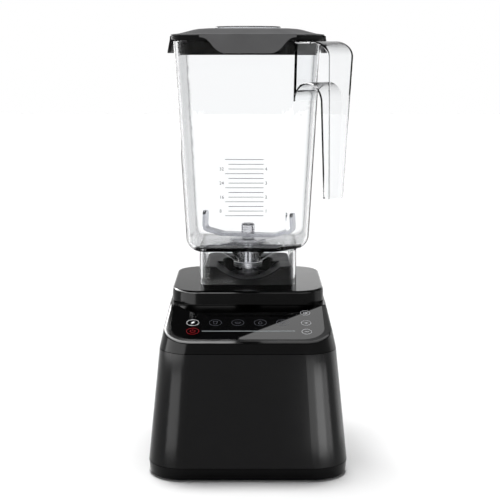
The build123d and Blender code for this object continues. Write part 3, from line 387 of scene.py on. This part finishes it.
white_glow = glowing("white_glow", (0.85, 0.85, 0.87), 0.7)
dim_glow = glowing("dim_glow", (0.10, 0.105, 0.125), 0.35)
side_glow = glowing("side_glow", (0.5, 0.51, 0.53), 0.8)
red_glow = glowing("red_glow", (0.5, 0.008, 0.016), 0.16)
slider_glow = glowing("slider_glow", (0.30, 0.33, 0.34), 0.3)

program_keys = [(kind, (u, ROW_V)) for kind, u in zip(("glass", "bowl", "drop", "leaf"), ROW_U[1:])]
side_keys = [(kind, (SIDE_U, v)) for kind, v in zip(("timer", "plus", "minus"), SIDE_V)]
for name, kinds_at, radius, material in (
    ("key_pulse", [("bolt", (ROW_U[0], ROW_V))], RING_R, white_glow),
    ("key_power", [("power", (POWER_U, SLIDER_V))], RING_R, red_glow),
    ("keys_programs", program_keys, RING_R, dim_glow),
    ("keys_side", side_keys, SIDE_RING_R, side_glow),
):
    mesh = bmesh.new()
    for kind, centre in kinds_at:
        ring_icon(mesh, kind, centre, radius)
    finish_piece(name, mesh, material, "base")

mesh = bmesh.new()
add_bar(mesh, (-40.0 * MM, SLIDER_V), (41.0 * MM, SLIDER_V), 0.9 * MM, MARK_THICK, panel_place)
finish_piece("speed_slider", mesh, slider_glow, "base")

# ---------------------------------------------------------------- measuring scale on the jar
SCALE_LOW, SCALE_STEP, SCALE_LINES = 222.5 * MM, 4.3 * MM, 13
SCALE_LEFT, SCALE_RIGHT, SCALE_W = -20.5 * MM, 14.0 * MM, 0.5 * MM
lean = math.atan2(JAR_HALF_RIM - JAR_HALF_LOW, JAR_RIM - JAR_UNDER)


def wall_place(z):
    """The jar's front wall at height z: x to the right, y up the wall and z out of it."""
    return (
        Matrix.Translation((0, -jar_half(z) - 0.02 * MM, z))
        @ Matrix.Rotation(math.radians(90) + lean, 4, "X")
    )


scale_ink = ink("scale_ink", (0.012, 0.012, 0.013))
mesh = bmesh.new()
for line in range(SCALE_LINES):
    place = wall_place(SCALE_LOW + line * SCALE_STEP)
    short = 0 if line % 3 == 0 else 3.0 * MM
    add_bar(mesh, (SCALE_LEFT + short, 0), (SCALE_RIGHT, 0), SCALE_W, 0.06 * MM, place)
finish_piece("scale_lines", mesh, scale_ink, "jar")

# Counting numbers on both sides, against one line in three
DIGIT_SIZE, DIGIT_THICK, DIGIT_DOWN = 4.2 * MM, 0.03 * MM, 1.4 * MM
for side, x, first, step in (
    ("left", SCALE_LEFT - 5.5 * MM, 8, 8),
    ("right", SCALE_RIGHT + 1.5 * MM, 1, 1),
):
    for count in range(4):
        z = SCALE_LOW + (1 + 3 * count) * SCALE_STEP
        text = bpy.data.curves.new(f"scale_{side}_{count}", "FONT")
        text.body = str(first + step * count)
        text.size = DIGIT_SIZE
        text.extrude = DIGIT_THICK
        text.materials.append(scale_ink)
        digits = bpy.data.objects.new(text.name, text)
        bpy.context.scene.collection.objects.link(digits)
        digits.matrix_world = wall_place(z) @ Matrix.Translation((x, -DIGIT_DOWN, DIGIT_THICK))
        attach(digits, "jar")

# ---------------------------------------------------------------- floor, light and camera
floor_mesh = bmesh.new()
bmesh.ops.create_grid(floor_mesh, x_segments=2, y_segments=2, size=6.0)
floor_data = bpy.data.meshes.new("floor")
floor_mesh.to_mesh(floor_data)
floor_mesh.free()
floor = bpy.data.objects.new("floor", floor_data)
bpy.context.scene.collection.objects.link(floor)
pale = Nodes("pale_floor")
pale.set(Base_Color=(0.93, 0.93, 0.93, 1.0), Roughness=0.9, Specular_IOR_Level=0.1)
floor_data.materials.append(pale.material)


def area_light(name, place, size, radiance, turn, roll=0):
    """A rectangular card of this brightness at place, rolled in its own plane and then turned by
    these degrees about X, Y and Z."""
    data = bpy.data.lights.new(name, "AREA")
    data.shape = "RECTANGLE"
    data.size, data.size_y = size
    data.energy = radiance * math.pi * size[0] * size[1]
    light = bpy.data.objects.new(name, data)
    light.location = place
    turned_card = Euler([math.radians(angle) for angle in turn]).to_matrix()
    light.rotation_euler = (turned_card @ Matrix.Rotation(math.radians(roll), 3, "Z")).to_euler()
    light.visible_camera = False
    light.visible_diffuse = False
    light.visible_transmission = False
    bpy.context.scene.collection.objects.link(light)
    return light


def corner_card(name, corner, bearing, width, radiance, low, high):
    """An upright card beside a corner, at this bearing from the front and between these heights."""
    angle = math.radians(bearing)
    x = corner[0] + CARD_REACH * math.sin(angle)
    y = corner[1] - CARD_REACH * math.cos(angle)
    place = (x, y, (low + high) / 2)
    area_light(name, place, (width, high - low), radiance, (-90, 0, bearing + 180))


# Cards close beside the base, which show as soft upright bands on its rounded corners
CARD_REACH = 0.15
front_left, front_right = (-0.057, -0.115), (0.057, -0.115)
corner_card("left_card", front_left, -42, 0.092, 6.2, 0.0, 0.08)
corner_card("left_card_high", front_left, -60, 0.26, 9.0, 0.09, 0.15)
corner_card("right_card_inner", front_right, 13, 0.058, 6.0, 0.0, 0.09)
corner_card("right_card", front_right, 37, 0.069, 14.0, 0.0, 0.085)
corner_card("right_card_outer", front_right, 60, 0.053, 7.0, 0.0, 0.085)
corner_card("right_rim", front_right, 116, 0.08, 1.0, 0.0, 0.2)
# Level cards low over the cover, which its upward-facing edges reflect, brighter on the left
only_cover = bpy.data.collections.new("cover_alone")
only_cover.objects.link(frame["nodes"]["top_cover"])
for name, place, size, radiance in (
    ("edge_card_left", (-0.076, -0.146, 0.172), (0.128, 0.098), 34.0),
    ("edge_card_right", (0.076, -0.146, 0.172), (0.128, 0.098), 8.0),
    ("edge_card_side", (-0.103, -0.058, 0.172), (0.054, 0.077), 40.0),
):
    card = area_light(name, place, size, radiance, (0, 0, 0))
    card.light_linking.receiver_collection = only_cover
# A card just in front of the jar, which the touch panel reflects with a slanting edge
PANEL_CARD_SLANT, PANEL_CARD_Y = 29, -0.0645
card_corner, card_size = Vector((-0.009, 0.1965)), (0.16, 0.06)
slant = math.radians(PANEL_CARD_SLANT)
along = Vector((math.cos(slant), -math.sin(slant)))
upward = Vector((-along.y, along.x))
middle = card_corner + along * card_size[0] / 2 + upward * card_size[1] / 2
card_place = (middle.x, PANEL_CARD_Y, middle.y)
area_light("panel_card", card_place, card_size, 1.5, (-90, 0, 0), roll=PANEL_CARD_SLANT)
# Low cards behind: the deck's top and its left edges reflect them
area_light("deck_card", (0.36, 0.85, 0.33), (0.62, 0.22), 0.7, (-90, 0, 0))
area_light("edge_card", (-0.42, 0.62, 0.40), (0.35, 0.4), 3.0, (-90, 0, 34))

sun_data = bpy.data.lights.new("overhead", "SUN")
sun_data.energy = 3.25
sun_data.angle = math.radians(18)
sun = bpy.data.objects.new("overhead", sun_data)
sun.rotation_euler = (math.radians(-9), math.radians(-2), 0)
sun.visible_glossy = False
bpy.context.scene.collection.objects.link(sun)

world = bpy.data.worlds.new("studio")
bpy.context.scene.world = world
world.use_nodes = True
sky = world.node_tree
direction = sky.nodes.new("ShaderNodeTexCoord").outputs["Generated"]
split = sky.nodes.new("ShaderNodeSeparateXYZ")
sky.links.new(direction, split.inputs["Vector"])
height = sky.nodes.new("ShaderNodeValToRGB")
height.color_ramp.elements[0].position = 0.06
height.color_ramp.elements[0].color = (1.0, 1.0, 1.0, 1.0)
height.color_ramp.elements[1].position = 0.60
height.color_ramp.elements[1].color = (0.03, 0.03, 0.031, 1.0)
sky.links.new(split.outputs["Z"], height.inputs["Fac"])
sky.links.new(height.outputs["Color"], sky.nodes["Background"].inputs["Color"])
sky.nodes["Background"].inputs["Strength"].default_value = 1.0

# The focal length for a picture 500 wide, the sensor's width and the tilt down in degrees
FOCAL, PICTURE, SENSOR, CAMERA_DOWN = 1205.1, 500.0, 36.0, 9.42
camera_data = bpy.data.cameras.new("camera")
camera_data.sensor_width = SENSOR
camera_data.lens = FOCAL * SENSOR / PICTURE
camera = bpy.data.objects.new("camera", camera_data)
camera.location = (0.0019, -1.150, 0.3718)
camera.rotation_euler = (math.radians(90 - CAMERA_DOWN), 0, 0)
bpy.context.scene.collection.objects.link(camera)
bpy.context.scene.camera = camera
bpy.context.scene.view_settings.view_transform = "Standard"
